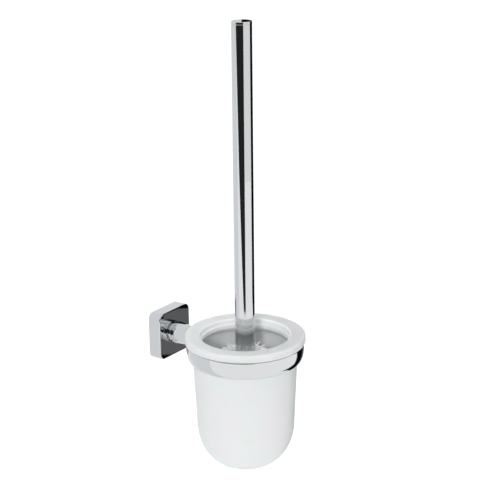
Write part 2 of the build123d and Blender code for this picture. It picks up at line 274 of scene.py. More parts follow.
def mouldedWhite():
    # Polypropylene, injection moulded: even satin white, with faint flow clouds and a spark-eroded grain
    # from the mould. Real grain is about 0.1 mm, too fine to show, so it is drawn at 0.5 mm.
    size = {"light": "#f2f3f2", "dark": "#e8eae9", "roughness": 0.36, "flow": 5 * mm, "spark": 0.5 * mm,
            "sparkHeight": 0.01 * mm}
    material, tree, shader, place = startMaterial("polypropyleneMoulded")
    flow = addNode(tree, "ShaderNodeTexNoise", {"Scale": 1 / size["flow"], "Detail": 3.0}, {"Vector": place})
    tone = addNode(tree, "ShaderNodeValToRGB", links={0: flow.outputs["Fac"]},
                   stops=[(0.35, linear(size["dark"])), (0.65, linear(size["light"]))])
    tree.links.new(tone.outputs[0], shader.inputs["Base Color"])
    shader.inputs["Roughness"].default_value = size["roughness"]
    shader.inputs["IOR"].default_value = 1.49
    spark = addNode(tree, "ShaderNodeTexNoise", {"Scale": 1 / size["spark"], "Detail": 1.0}, {"Vector": place})
    bump = addNode(tree, "ShaderNodeBump", {"Strength": 1.0, "Distance": size["sparkHeight"]},
                   {"Height": spark.outputs["Fac"]})
    tree.links.new(bump.outputs[0], shader.inputs["Normal"])
    return material


def clearLining():
    # Polyethylene, moulded thin: milky and half see-through, waxy to the eye.
    size = {"tint": "#eef1f1", "clear": 0.7, "smoothest": 0.25, "roughest": 0.4, "cloud": 3 * mm}
    material, tree, shader, place = startMaterial("polyethyleneMoulded")
    shader.inputs["Base Color"].default_value = linear(size["tint"])
    shader.inputs["IOR"].default_value = 1.51
    shader.inputs["Transmission Weight"].default_value = size["clear"]
    cloud = addNode(tree, "ShaderNodeTexNoise", {"Scale": 1 / size["cloud"], "Detail": 2.0}, {"Vector": place})
    rough = addNode(tree, "ShaderNodeMapRange",
                    {"From Min": 0.3, "From Max": 0.7, "To Min": size["smoothest"], "To Max": size["roughest"]},
                    {0: cloud.outputs["Fac"]})
    tree.links.new(rough.outputs[0], shader.inputs["Roughness"])
    return material


def zincPlate():
    # Steel sheet, pressed and bright zinc plated: cool grey, with faint cloudy crystals and rolling lines.
    # Real rolling lines are under 0.1 mm apart, too fine to show, so they are drawn 0.25 mm apart.
    size = {"light": "#c3c8cd", "dark": "#a2a8b0", "smoothest": 0.26, "roughest": 0.42, "crystal": 2.2 * mm,
            "line": 0.25 * mm, "lineStretch": 0.03}
    material, tree, shader, place = startMaterial("steelZincPlated")
    crystal = addNode(tree, "ShaderNodeTexVoronoi", {"Scale": 1 / size["crystal"]}, {"Vector": place})
    stretch = addNode(tree, "ShaderNodeMapping", {"Scale": (size["lineStretch"], 1.0, 1.0)}, {"Vector": place})
    lines = addNode(tree, "ShaderNodeTexNoise", {"Scale": 1 / size["line"], "Detail": 2.0},
                    {"Vector": stretch.outputs[0]})
    tone = addNode(tree, "ShaderNodeValToRGB", links={0: crystal.outputs["Color"]},
                   stops=[(0.2, linear(size["dark"])), (0.8, linear(size["light"]))])
    tree.links.new(tone.outputs[0], shader.inputs["Base Color"])
    shader.inputs["Metallic"].default_value = 1.0
    rough = addNode(tree, "ShaderNodeMapRange",
                    {"From Min": 0.3, "From Max": 0.7, "To Min": size["smoothest"], "To Max": size["roughest"]},
                    {0: lines.outputs["Fac"]})
    tree.links.new(rough.outputs[0], shader.inputs["Roughness"])
    return material


def turnedSteel():
    # Stainless steel, turned and tumbled: grey, with fine tool marks broken up by the tumbling. Real marks
    # are about 0.1 mm, too fine to show, so they are drawn at 0.3 mm.
    size = {"tint": "#b3b3b0", "smoothest": 0.23, "roughest": 0.36, "mark": 0.3 * mm, "depth": 0.01 * mm}
    material, tree, shader, place = startMaterial("stainlessSteelTurned")
    shader.inputs["Base Color"].default_value = linear(size["tint"])
    shader.inputs["Metallic"].default_value = 1.0
    marks = addNode(tree, "ShaderNodeTexNoise", {"Scale": 1 / size["mark"], "Detail": 2.0}, {"Vector": place})
    rough = addNode(tree, "ShaderNodeMapRange",
                    {"From Min": 0.3, "From Max": 0.7, "To Min": size["smoothest"], "To Max": size["roughest"]},
                    {0: marks.outputs["Fac"]})
    tree.links.new(rough.outputs[0], shader.inputs["Roughness"])
    bump = addNode(tree, "ShaderNodeBump", {"Strength": 1.0, "Distance": size["depth"]},
                   {"Height": marks.outputs["Fac"]})
    tree.links.new(bump.outputs[0], shader.inputs["Normal"])
    return material


chrome = chromePlate()
glass = frostedGlass()
nylon = nylonFilament()
whitePlastic = mouldedWhite()
lining = clearLining()
zinc = zincPlate()
steel = turnedSteel()
print("materials made")


cameraSet = {"azimuth": -55.0, "pitch": -17.74, "roll": -0.56, "place": (-0.929, -0.751, 0.459),
             "lens": 96.57, "sensor": 36.0, "nearest": 0.01, "farthest": 100.0}


def makeCamera(sizes):
    # looks along its azimuth and pitch, then is turned about its own axis by the roll
    azimuth, pitch, roll = (math.radians(sizes[k]) for k in ("azimuth", "pitch", "roll"))
    ahead = Vector((-math.sin(azimuth) * math.cos(pitch), math.cos(azimuth) * math.cos(pitch), math.sin(pitch)))
    side = Vector((math.cos(azimuth), math.sin(azimuth), 0))
    up = side.cross(ahead)
    right = side * math.cos(roll) + up * math.sin(roll)
    top = up * math.cos(roll) - side * math.sin(roll)
    data = bpy.data.cameras.new("camera")
    data.lens = sizes["lens"]
    data.sensor_width = sizes["sensor"]
    data.clip_start, data.clip_end = sizes["nearest"], sizes["farthest"]
    camera = bpy.data.objects.new("camera", data)
    bpy.context.scene.collection.objects.link(camera)
    turned = Matrix((right, top, -ahead)).transposed().to_4x4()
    turned.translation = Vector(sizes["place"])
    camera.matrix_world = turned
    bpy.context.scene.camera = camera


makeCamera(cameraSet)
print("camera placed")


rosetteSizes = {"corner": 6.25 * mm, "edge": 0.8 * mm, "backEdge": 0.25 * mm, "wall": 2.2 * mm,
                "front": 3.0 * mm, "innerCorner": 4.0 * mm, "hole": 3.02 * mm, "cornerSteps": 14,
                "sideSteps": 10}


def squareRadius(angle, half, corner):
    # distance from the middle of a round-cornered square to its edge along each angle: the straight side
    # where the ray meets it, else the corner's circle
    cosine, sine = np.cos(angle), np.sin(angle)
    reach = half / np.maximum(np.abs(cosine), np.abs(sine))
    inner = half - corner
    onCorner = (np.abs(cosine) * reach > inner) & (np.abs(sine) * reach > inner)
    dot = (np.abs(cosine) + np.abs(sine)) * inner
    circle = dot + np.sqrt(np.maximum(dot ** 2 - 2 * inner ** 2 + corner ** 2, 0))
    return np.where(onCorner, circle, reach)


def rosetteAngles(sizes, half):
    # the angles of points spread along one outline: each side straight, each corner an arc
    inner = half - sizes["corner"]
    side = np.linspace(-inner, inner, sizes["sideSteps"] + 1)[1:-1]
    arc = np.linspace(0, math.pi / 2, sizes["cornerSteps"] + 1)
    corner = np.arctan2(inner + sizes["corner"] * np.sin(arc), inner + sizes["corner"] * np.cos(arc))
    quarter = np.concatenate([np.arctan2(side, half), corner])
    return np.concatenate([quarter + k * math.pi / 2 for k in range(4)])


def makeRosette(sizes):
    # A closed shell: stations go up the outside, over the rounded edge, in over the front to the screw hole,
    # through it, out over the cavity's front and back along the cavity's sides. Each station is a
    # round-cornered square or a circle at one depth, and between them the radius goes straight from one to
    # the other. Shares say how far along a stretch a station stands: they place points, not edges.
    low, high = nodeBox("rosette")
    half, depth = (high[2] - low[2]) / 2, -low[1]
    middle = (low + high) / 2
    angle = rosetteAngles(sizes, half)
    cavityHalf, cavityDepth = half - sizes["wall"], depth - sizes["front"]
    outside = squareRadius(angle, half, sizes["corner"])
    rim = np.radians(np.linspace(0, 90, 9))
    stations = []

    def add(radius, at):
        stations.append((np.broadcast_to(radius, angle.shape), at))

    for at in (sizes["backEdge"] * 1.5, 0.35 * depth, 0.7 * depth, depth - sizes["edge"] * 1.25):
        add(outside, at)
    for step in rim:
        inset = sizes["edge"] * (1 - math.cos(step))
        short = sizes["edge"] * (1 - math.sin(step))
        add(squareRadius(angle, half - inset, sizes["corner"] - inset), depth - short)
    flat = squareRadius(angle, half - sizes["edge"], sizes["corner"] - sizes["edge"])
    for share in (0.02, 0.2, 0.45, 0.7, 0.97):
        add(flat + (sizes["hole"] - flat) * share, depth)
    for at in (depth, cavityDepth):
        add(sizes["hole"], at)
    cavity = squareRadius(angle, cavityHalf, sizes["innerCorner"])
    for share in (0.03, 0.5, 0.97, 1.0):
        add(sizes["hole"] + (cavity - sizes["hole"]) * share, cavityDepth)
    for at in (cavityDepth * 0.97, cavityDepth * 0.5, sizes["backEdge"] * 0.5):
        add(cavity, at)
    add(cavity + (outside - cavity) * 0.06, 0.0)
    add(outside - sizes["backEdge"] * 1.2, 0.0)
    add(outside - sizes["backEdge"], 0.0)
    add(outside - sizes["backEdge"] * 0.3, sizes["backEdge"] * 0.3)
    radius = np.array([s[0] for s in stations])
    at = np.array([s[1] for s in stations])[:, None]
    points = np.stack([middle[0] + radius * np.cos(angle), -np.broadcast_to(at, radius.shape),
                       middle[2] + radius * np.sin(angle)], -1)
    return buildMesh("rosette_cover", points, gridFaces(len(radius), len(angle), closeRows=True), sharp=30)


def prism(name, outline, halfWide):
    # a section in the (distance from wall, height) plane carried along X, with its ends closed
    outline = np.array(outline, float)
    count = len(outline)
    ends = [np.column_stack([np.full(count, x), outline]) for x in (-halfWide, halfWide)]
    mesh = bpy.data.meshes.new(name)
    sides = gridFaces(2, count).tolist()
    caps = [list(range(count))[::-1], list(range(count, 2 * count))]
    mesh.from_pydata(np.concatenate(ends).tolist(), [], sides + caps)
    piece = bpy.data.objects.new(name, mesh)
    bpy.context.scene.collection.objects.link(piece)
    work = bmesh.new()
    work.from_mesh(mesh)
    bmesh.ops.recalc_face_normals(work, faces=work.faces)
    work.to_mesh(mesh)
    work.free()
    return piece


def addModifier(piece, kind, **settings):
    modifier = piece.modifiers.new(kind.lower(), kind)
    for key, value in settings.items():
        setattr(modifier, key, value)
    return modifier


def weighNormals(piece):
    # flat faces keep their own direction up to their edges, so mirrors stay true
    addModifier(piece, "WEIGHTED_NORMAL", keep_sharp=True, weight=100)


# the hook hangs on the bracket's undercut edge, the boss takes the set screw; both are sunk in the shell
hookSizes = {"wide": 24 * mm, "tip": 15.6 * mm, "root": 17.2 * mm, "front": 4.3 * mm, "back": 0.5 * mm,
             "round": 0.25 * mm, "sunk": 1 * mm}
bossSizes = {"wide": 9 * mm, "top": 17.6 * mm, "front": 6.5 * mm, "back": 0.5 * mm, "round": 0.25 * mm,
             "screwHole": 2.02 * mm, "drilled": 8 * mm}


def cutScrewHole(rosette, boss, sizes):
    # bores the set screw's hole up through the rosette's lower side and the boss inside it
    low, high = nodeBox("set_screw")
    middle = (low + high) / 2
    bore, reach = sizes["screwHole"], sizes["drilled"]
    drill = np.array([(0, -reach), (bore, -reach), (bore, reach), (0, reach)])
    cutter = lathe("cutter", drill, middle, around=48)
    for piece in (rosette, boss):
        addModifier(piece, "BOOLEAN", operation="DIFFERENCE", object=cutter, solver="EXACT")
        bakeModifiers(piece)
    bpy.data.objects.remove(cutter)


def bakeModifiers(piece):
    # replaces a piece's mesh by what its modifiers make of it
    graph = bpy.context.evaluated_depsgraph_get()
    mesh = bpy.data.meshes.new_from_object(piece.evaluated_get(graph))
    piece.modifiers.clear()
    piece.data = mesh


def makeHookAndBoss(h, b):
    low, high = nodeBox("rosette")
    inside = (high[2] - low[2]) / 2 - rosetteSizes["wall"] + h["sunk"]
    hook = prism("rosette_hook", [(-h["back"], inside), (-h["back"], h["tip"]), (-h["front"], h["root"]),
                                  (-h["front"], inside)], h["wide"] / 2)
    boss = prism("rosette_boss", [(-b["back"], -b["top"]), (-b["front"], -b["top"]), (-b["front"], -inside),
                                  (-b["back"], -inside)], b["wide"] / 2)
    return hook, boss


rosetteCover = makeRosette(rosetteSizes)
hook, boss = makeHookAndBoss(hookSizes, bossSizes)
cutScrewHole(rosetteCover, boss, bossSizes)
for part, sizes in ((hook, hookSizes), (boss, bossSizes)):
    addModifier(part, "BEVEL", width=sizes["round"], segments=2, limit_method="ANGLE")
for part in (rosetteCover, hook, boss):
    weighNormals(part)
settle(rosetteCover, chrome, "holder", ["rosette"])
settle(hook, chrome, "holder", [])
settle(boss, chrome, "holder", [])
print("rosette made")


collarSizes = {"neck": 8.5 * mm, "neckLong": 2.4 * mm, "foot": 0.5 * mm, "bore": 3.02 * mm,
               "footEdge": 0.1 * mm, "footRound": 0.3 * mm, "waistRound": 0.35 * mm, "edge": 0.45 * mm}
armSizes = {"edge": 0.45 * mm, "end": 7.6 * mm, "saddle": 0.15 * mm, "stations": 40, "around": 128}


def makeCollar(sizes):
    # turned piece about the arm's axis: a neck with a small foot on the rosette, then the disc
    low, high = nodeBox("arm_collar")
    big, back, front = (high[2] - low[2]) / 2, high[1], low[1]
    waist = back - sizes["neckLong"]
    corners = [(sizes["bore"], back), (sizes["neck"] + sizes["foot"], back),
               (sizes["neck"], back - sizes["foot"]), (sizes["neck"], waist),
               (big, waist), (big, front), (sizes["bore"], front)]
    radii = [sizes["footEdge"], sizes["footRound"], sizes["waistRound"], sizes["edge"], sizes["edge"]]
    profile = roundedLine(corners, radii, steps=6, hold=0.08 * mm)
    return lathe("arm_collar_turned", profile, (0, 0, 0), axis="Y", around=128, closed=True)


def ringOutside(height, sizes):
    # outside radius of the ring at a height: upright above curveTop, then a quarter ellipse in to the lip
    low, high = nodeBox("ring")
    big = (high[0] - low[0]) / 2
    share = np.clip((sizes["curveTop"] - height) / (sizes["curveTop"] - low[2]), 0, 1)
    return sizes["lip"] + (big - sizes["lip"]) * np.sqrt(1 - share ** 2)


def makeArm(sizes):
    # tapered bar about the arm's axis: radius goes straight from the collar's to the end's, and the last
    # station is carried onto the ring's outside: y = ring axis + sqrt(R(z)^2 - x^2)
    low, high = nodeBox("arm")
    ringLow, ringHigh = nodeBox("ring")
    ringMiddle = (ringLow[1] + ringHigh[1]) / 2
    big, start, around = (high[2] - low[2]) / 2, high[1], sizes["around"]
    angle = np.linspace(0, turn, around, endpoint=False)
    edge = np.radians(np.linspace(90, 0, 7))
    closing = [(r * (big - sizes["edge"]), 0.0) for r in (0.0, 0.5, 0.98)]
    bend = sizes["edge"]
    lead = [(big - bend + bend * math.cos(a), bend * (1 - math.sin(a))) for a in edge]
    lead = np.array(closing + lead)
    share = np.linspace(0, 1, sizes["stations"])[1:, None]
    radius = np.concatenate([lead[:, :1], big + (sizes["end"] - big) * share]) * np.ones(around)
    across, upward = radius * np.cos(angle), radius * np.sin(angle)
    ringFace = np.sqrt(ringOutside(upward[-1:], ringSizes) ** 2 - across[-1:] ** 2)
    onRing = ringMiddle + ringFace - sizes["saddle"]
    fromY = start - sizes["edge"]
    depth = np.concatenate([(start - lead[:, 1:]) * np.ones(around), fromY + (onRing - fromY) * share])
    points = np.stack([across, depth, upward], -1)
    middle = points[-1:].mean(1, keepdims=True)
    points = np.concatenate([points, np.broadcast_to(middle, (1, around, 3))])
    return buildMesh("arm_bar", points, gridFaces(len(points), around), sharp=40)


ringSizes = {"lip": 49.6 * mm, "curveTop": 3.0 * mm, "seat": 49.8 * mm, "seatFloor": -2.2 * mm,
             "bore": 48.1 * mm, "edge": 0.5 * mm, "footEdge": 0.3 * mm, "seatEdge": 0.15 * mm,
             "longest": 3 * mm}
seatSizes = {"inner": 48.75 * mm, "wall": 1.0 * mm, "edge": 0.25 * mm, "innerEdge": 0.2 * mm,
             "longest": 3 * mm}


def makeRing(sizes):
    # closed turned section: outside, rounded foot, bore, seat step and top
    low, high = nodeBox("ring")
    big, top, foot = (high[0] - low[0]) / 2, high[2], low[2]
    curve = quarterEllipse((sizes["lip"], sizes["curveTop"]), big - sizes["lip"], sizes["curveTop"] - foot,
                           0, -90, 20)
    upper = roundedLine([(sizes["seat"], top), (big, top), (big, sizes["curveTop"])], [sizes["edge"]])
    inner = roundedLine([(sizes["lip"], foot), (sizes["bore"], foot), (sizes["bore"], sizes["seatFloor"]),
                         (sizes["seat"], sizes["seatFloor"]), (sizes["seat"], top)],
                        [sizes["footEdge"], sizes["seatEdge"], sizes["seatEdge"]], steps=4)
    profile = thicken(np.concatenate([upper, curve[1:], inner[1:-1]]), sizes["longest"])
    return lathe("ring_cast", profile, cupAxis, around=256, closed=True)


def makeSeat(sizes):
    # thin lining with a lip over the ring's top
    low, high = nodeBox("cup_seat")
    lip, top, foot = (high[0] - low[0]) / 2, high[2], low[2]
    ringTop = nodeBox("ring")[1][2]
    outer = sizes["inner"] + sizes["wall"]
    corners = [(outer, foot), (outer, ringTop), (lip, ringTop), (lip, top), (sizes["inner"], top),
               (sizes["inner"], foot), (outer, foot)]
    radii = [0, sizes["edge"], sizes["edge"], sizes["innerEdge"], 0]
    profile = roundedLine(corners, radii, steps=4, hold=0.05 * mm)
    return lathe("cup_seat_lining", thicken(profile[:-1], sizes["longest"]), cupAxis, around=192, closed=True)


cupLow, cupHigh = nodeBox("cup")
cupAxis = ((cupLow[0] + cupHigh[0]) / 2, (cupLow[1] + cupHigh[1]) / 2, 0.0)
collar = makeCollar(collarSizes)
arm = makeArm(armSizes)
ring = makeRing(ringSizes)
seat = makeSeat(seatSizes)
for part in (collar, arm, ring):
    weighNormals(part)
settle(collar, chrome, "holder", ["arm_collar"])
settle(arm, chrome, "holder", ["arm"])
settle(ring, chrome, "holder", ["ring"])
settle(seat, lining, "holder", ["cup_seat"])
print("arm, ring and seat made")


cupSizes = {"rimThick": 7.0 * mm, "dish": 0.5 * mm, "topRound": 1.8 * mm, "lowRound": 0.9 * mm,
            "neckRound": 0.6 * mm, "mouth": 41.0 * mm, "mouthDeep": 4.5 * mm, "mouthRound": 1.2 * mm,
            "stepRound": 0.6 * mm, "throat": 39.1 * mm, "throatLong": 4.0 * mm, "throatRound": 2 * mm,
            "shoulder": 5.0 * mm, "shoulderRound": 3 * mm, "bodyTop": 48.4 * mm, "bodyLow": 44.9 * mm,
            "bowlStart": -70.25 * mm, "foot": 12.5 * mm, "floorFlat": 11.0 * mm, "wall": 4.4 * mm,
            "floor": 5.0 * mm, "longest": 4 * mm, "bowlSteps": 40, "insideReach": 42.0 * mm}


def makeCup(sizes):
    # turned section from the middle of the foot, up the outside, over the dished rim, down the stepped mouth
    # and throat, and down the inside to the middle of the floor
    s = sizes
    rim, top, foot = (cupHigh[0] - cupLow[0]) / 2, cupHigh[2], cupLow[2]
    under = top - s["rimThick"]
    mouthTop = top - s["dish"]
    throatTop = mouthTop - s["mouthDeep"]
    throatLow = throatTop - s["throatLong"]
    shoulderLow = throatLow - s["shoulder"]
    floor, flat = foot + s["floor"], s["floorFlat"]
    innerTop, innerLow = s["bodyTop"] - s["wall"], s["bodyLow"] - s["wall"]
    outerBowl = quarterEllipse((s["foot"], s["bowlStart"]), s["bodyLow"] - s["foot"], s["bowlStart"] - foot,
                               -90, 0, s["bowlSteps"])
    innerBowl = quarterEllipse((flat, s["bowlStart"]), innerLow - flat, s["bowlStart"] - floor,
                               0, -90, s["bowlSteps"])
    upper = roundedLine([(s["bodyLow"], s["bowlStart"]), (s["bodyTop"], under), (rim, under), (rim, top),
                         (s["mouth"], mouthTop), (s["mouth"], throatTop),
                         (s["throat"], throatTop), (s["throat"], throatLow), (innerTop, shoulderLow),
                         (innerLow, s["bowlStart"])],
                        [s["neckRound"], s["lowRound"], s["topRound"], s["mouthRound"], s["stepRound"],
                         s["stepRound"], s["throatRound"], s["shoulderRound"]], steps=8)
    profile = np.concatenate([[(0, foot)], [(s["foot"] * 0.5, foot)], outerBowl, upper[1:-1], innerBowl,
                              [(flat * 0.5, floor)], [(0, floor)]])
    cup = lathe("cup_blown", thicken(profile, s["longest"]), cupAxis, around=256)
    markInside(cup, foot, s)
    return cup


def markInside(cup, foot, s):
    # the inside, which the glass paints whiter as painted light and makes less clear, gets 1 in the attribute
    # that the glass reads: in the bowl, what is nearer the axis than an ellipse down the middle of the wall,
    # and above the bowl, what is within the radius given for it in the cup's sizes
    points = meshPoints(cup.data)
    floorMiddle = foot + s["floor"] / 2
    radius = np.hypot(points[:, 0] - cupAxis[0], points[:, 1] - cupAxis[1])
    sink = np.clip((s["bowlStart"] - points[:, 2]) / (s["bowlStart"] - floorMiddle), 0, 1)
    middle = s["foot"] + (s["bodyLow"] - s["foot"] - s["wall"] / 2) * np.sqrt(1 - sink ** 2)
    inside = (radius < np.where(sink > 0, middle, s["insideReach"])) & (points[:, 2] > floorMiddle)
    cup.data.attributes.new("inside", "FLOAT", "POINT").data.foreach_set("value", inside.astype(np.float32))


cup = makeCup(cupSizes)
settle(cup, glass, "cup", ["cup"])
print("cup made")


tubeSizes = {"bore": 8.0 * mm, "edge": 0.22 * mm, "seam": 1 * mm, "longest": 12 * mm}
capSizes = {"plug": 7.98 * mm, "plugRound": 0.3 * mm, "edge": 0.22 * mm, "topRound": 0.55 * mm,
            "dome": 0.12 * mm, "longest": 3 * mm}


def makeTube(sizes):
    # closed section of the tube's wall, which starts and ends at a seam a little way up the bore
    low, high = nodeBox("handle_tube")
    big, bottom, top = (high[0] - low[0]) / 2, low[2], high[2]
    seam = (sizes["bore"], bottom + sizes["seam"])
    corners = [seam, (sizes["bore"], bottom), (big, bottom), (big, top), (sizes["bore"], top), seam]
    profile = roundedLine(corners, [sizes["edge"]] * 4, steps=4, hold=0.08 * mm)
    return lathe("handle_tube_drawn", thicken(profile[:-1], sizes["longest"]), cupAxis, around=192, closed=True)


def makeCap(sizes):
    # a disc with a rounded upper edge and a slightly domed top, over the plug that holds it in the tube
    low, high = nodeBox("handle_cap")
    tubeTop = nodeBox("handle_tube")[1][2]
    big, top, plug = (high[0] - low[0]) / 2, high[2], sizes["plug"]
    corners = [(0, low[2]), (plug, low[2]), (plug, tubeTop), (big, tubeTop), (big, top - sizes["dome"]),
               (0, top)]
    radii = [sizes["plugRound"], 0, sizes["edge"], sizes["topRound"]]
    profile = roundedLine(corners, radii, steps=6, hold=0.08 * mm)
    return lathe("handle_cap_turned", thicken(profile, sizes["longest"]), cupAxis, around=192)


tube = makeTube(tubeSizes)
cap = makeCap(capSizes)
for part in (tube, cap):
    weighNormals(part)
settle(tube, chrome, "handle", ["handle_tube"])
settle(cap, chrome, "handle", ["handle_cap"])
print("handle made")


coreSizes = {"end": 5.0 * mm, "endRound": 0.5 * mm, "coneRound": 1.0 * mm, "collar": 0.4 * mm,
             "bore": 4.06 * mm, "boreDeep": 16 * mm, "boreEdge": 0.2 * mm, "longest": 4 * mm}
# Real filaments are 0.2 to 0.3 mm thick, too fine to show singly, so they are drawn 0.42 mm thick, and
# 0.9 mm with fewer to a tuft in the crown, which is the only row that is seen without the glass before it.
bristleSizes = {"tufts": 21, "filaments": 24, "thick": 0.42 * mm, "taper": 0.15, "stations": 4, "seed": 11,
                "bundle": 1.5 * mm, "spread": 5.2 * mm, "rise": 3.6 * mm, "bow": 1.6 * mm, "uneven": 1.6 * mm,
                "lift": 0.0, "wander": 0.02, "tipWander": 0.4 * mm, "over": 0.3 * mm, "sunk": 1.2 * mm,
                "wallGap": 1.2 * mm, "floorGap": 0.6 * mm}
crownSizes = {**bristleSizes, "tufts": 19, "filaments": 6, "thick": 0.9 * mm, "bundle": 1.6 * mm,
              "spread": 5.0 * mm, "bow": 1.4 * mm, "uneven": 7 * mm, "lift": 0.8}
endTuftSizes = {**bristleSizes, "tufts": 9, "filaments": 22, "ring": 3.4 * mm, "spread": 2.6 * mm,
                "rootWander": 0.45 * mm, "sunk": 0.8 * mm, "inset": 2 * mm, "floorGap": 0.3 * mm,
                "uneven": 0.5 * mm, "bow": 0.4 * mm}


def makeCore(sizes):
    # moulded rod with a socket for the stud in its top and a cone at its foot
    low, high = nodeBox("head_core")
    big, bottom, top = (high[0] - low[0]) / 2, low[2], high[2]
    cone = big - sizes["end"]
    corners = [(0, bottom), (sizes["end"], bottom), (big, bottom + cone), (big, top), (sizes["bore"], top),
               (sizes["bore"], top - sizes["boreDeep"]), (0, top - sizes["boreDeep"])]
    radii = [sizes["endRound"], sizes["coneRound"], sizes["collar"], sizes["boreEdge"], sizes["boreEdge"]]
    profile = thicken(roundedLine(corners, radii, steps=5), sizes["longest"])
    return lathe("head_core_moulded", profile, cupAxis, around=96)


def filaments(name, root, tip, bow, sizes):
    # each filament is a thin tube on a curve from root to tip, pushed sideways by bow at its middle:
    # P(t) = root + (tip - root) t + bow 4 t (1 - t), with a ring of four points round every station, so
    # that the cap on each end is one more four-sided face
    stations, sides, count = sizes["stations"], 4, len(root)
    share = np.linspace(0, 1, stations)[None, :, None]
    line = root[:, None] + (tip - root)[:, None] * share + bow[:, None] * 4 * share * (1 - share)
    ahead = tip - root
    ahead = ahead / np.linalg.norm(ahead, axis=1, keepdims=True)
    aside = (0.13, 0.21, 0.97)    # any direction that no filament runs along
    side = np.cross(ahead, np.broadcast_to(aside, ahead.shape))
    side = side / np.linalg.norm(side, axis=1, keepdims=True)
    other = np.cross(ahead, side)
    angle = np.linspace(0, turn, sides, endpoint=False)
    ringShape = np.cos(angle)[None, :, None] * side[:, None] + np.sin(angle)[None, :, None] * other[:, None]
    thick = sizes["thick"] / 2 * (1 - sizes["taper"] * share[..., None])
    points = line[:, :, None] + thick * ringShape[:, None]
    caps = np.array([np.arange(sides)[::-1], np.arange(sides) + (stations - 1) * sides])
    one = np.concatenate([gridFaces(stations, sides), caps])
    faces = (one[None] + (np.arange(count) * stations * sides)[:, None, None]).reshape(-1, 4)
    mesh = bpy.data.meshes.new(name)
    mesh.from_pydata(points.reshape(-1, 3).tolist(), [], faces.tolist())
    mesh.polygons.foreach_set("use_smooth", np.ones(len(mesh.polygons), bool))
    along = mesh.attributes.new("along", "FLOAT", "POINT")
    shares = np.broadcast_to(share[..., None], (count, stations, sides, 1))
    along.data.foreach_set("value", shares.ravel().copy())
    piece = bpy.data.objects.new(name, mesh)
    bpy.context.scene.collection.objects.link(piece)
    return piece


def insideRadius(height):
    # inside radius of the cup at a height, as in the cup's own section
    s = cupSizes
    floor = cupLow[2] + s["floor"]
    innerLow, flat = s["bodyLow"] - s["wall"], s["floorFlat"]
    share = np.clip((s["bowlStart"] - height) / (s["bowlStart"] - floor), 0, 1)
    return flat + (innerLow - flat) * np.sqrt(1 - share ** 2)


def bristleRow(number, name, sizes, rng):
    # the row's tufts stand round the core; each filament leaves a small bundle at the core and ends spread
    # over its tuft's share of the row's outer face, a little uneven in length. With lift, a filament that
    # reaches less far out stands up by lift times what it lacks.
    low, high = nodeBox(name)
    coreLow, coreHigh = nodeBox("head_core")
    coreBig = (coreHigh[0] - coreLow[0]) / 2
    tipRadius = (high[0] - low[0]) / 2
    rootZ, tipZ = rowMiddles(name)
    count = sizes["tufts"] * sizes["filaments"]
    tuft = np.repeat(np.arange(sizes["tufts"]), sizes["filaments"])
    middle = (tuft + 0.5 * (number % 2)) / sizes["tufts"] * turn    # every other row is half a tuft round
    middle = middle + rng.normal(0, sizes["wander"], sizes["tufts"])[tuft]
    disc = np.sqrt(rng.random(count))
    around = rng.random(count) * turn
    fanWide, fanTall = disc * np.cos(around), disc * np.sin(around)
    spread = sizes["spread"] * min(1, tipRadius / widestRow)
    rootAngle = middle + fanWide * sizes["bundle"] / coreBig
    tipAngle = middle + fanWide * spread / tipRadius
    rootHeight = rootZ + fanTall * sizes["bundle"]
    tipHeight = tipZ + fanTall * sizes["rise"] + rng.normal(0, sizes["tipWander"], count)
    tipHeight = np.maximum(tipHeight, cupLow[2] + cupSizes["floor"] + sizes["floorGap"])
    length = tipRadius - np.abs(rng.normal(0, sizes["uneven"], count)) * 0.6 + sizes["over"]
    length = np.minimum(length, insideRadius(tipHeight) - sizes["wallGap"])
    tipHeight = tipHeight + sizes["lift"] * (tipRadius - length)
    inside = coreBig - sizes["sunk"]
    root = np.stack([inside * np.cos(rootAngle), inside * np.sin(rootAngle), rootHeight], 1) + np.array(cupAxis)
    tip = np.stack([length * np.cos(tipAngle), length * np.sin(tipAngle), tipHeight], 1) + np.array(cupAxis)
    bow = rng.normal(0, sizes["bow"] / 2, (count, 3)) * (1, 1, 0.7)
    return filaments(name + "_tufts", root, tip, bow, sizes)


def rowMiddles(name):
    # heights at which a row's section leaves the core and ends at its tips, read from its own corners
    points, near = meshPoints(nodes[name].data), 0.5 * mm
    radius = np.hypot(points[:, 0] - cupAxis[0], points[:, 1] - cupAxis[1])
    atTip = radius > radius.max() - near
    atRoot = radius < radius.min() + near
    return points[atRoot, 2].mean(), points[atTip, 2].mean()


def endTuft(sizes, rng):
    # a ring of tufts under the core and one in its middle, fanned out down to the floor of the cup
    low, high = nodeBox("end_tuft")
    count = sizes["tufts"] * sizes["filaments"]
    tuft = np.repeat(np.arange(sizes["tufts"]), sizes["filaments"])
    middle = tuft / (sizes["tufts"] - 1) * turn
    ringRadius = np.where(tuft == sizes["tufts"] - 1, 0, sizes["ring"])
    wide, deep = rng.normal(0, sizes["rootWander"], (2, count))
    root = np.stack([ringRadius * np.cos(middle) + wide, ringRadius * np.sin(middle) + deep,
                     np.full(count, high[2] + sizes["sunk"])], 1) + np.array(cupAxis)
    reach = (high[0] - low[0]) / 2 - sizes["inset"]
    fan = np.where(tuft == sizes["tufts"] - 1, 0, reach)
    wide, deep = rng.normal(0, sizes["spread"] / 2, (2, count))
    tip = np.stack([fan * np.cos(middle) + wide, fan * np.sin(middle) + deep,
                    low[2] + sizes["floorGap"] + np.abs(rng.normal(0, sizes["uneven"], count))],
                   1) + np.array(cupAxis)
    bow = rng.normal(0, sizes["bow"], (count, 3))
    return filaments("end_tuft_filaments", root, tip, bow, sizes)


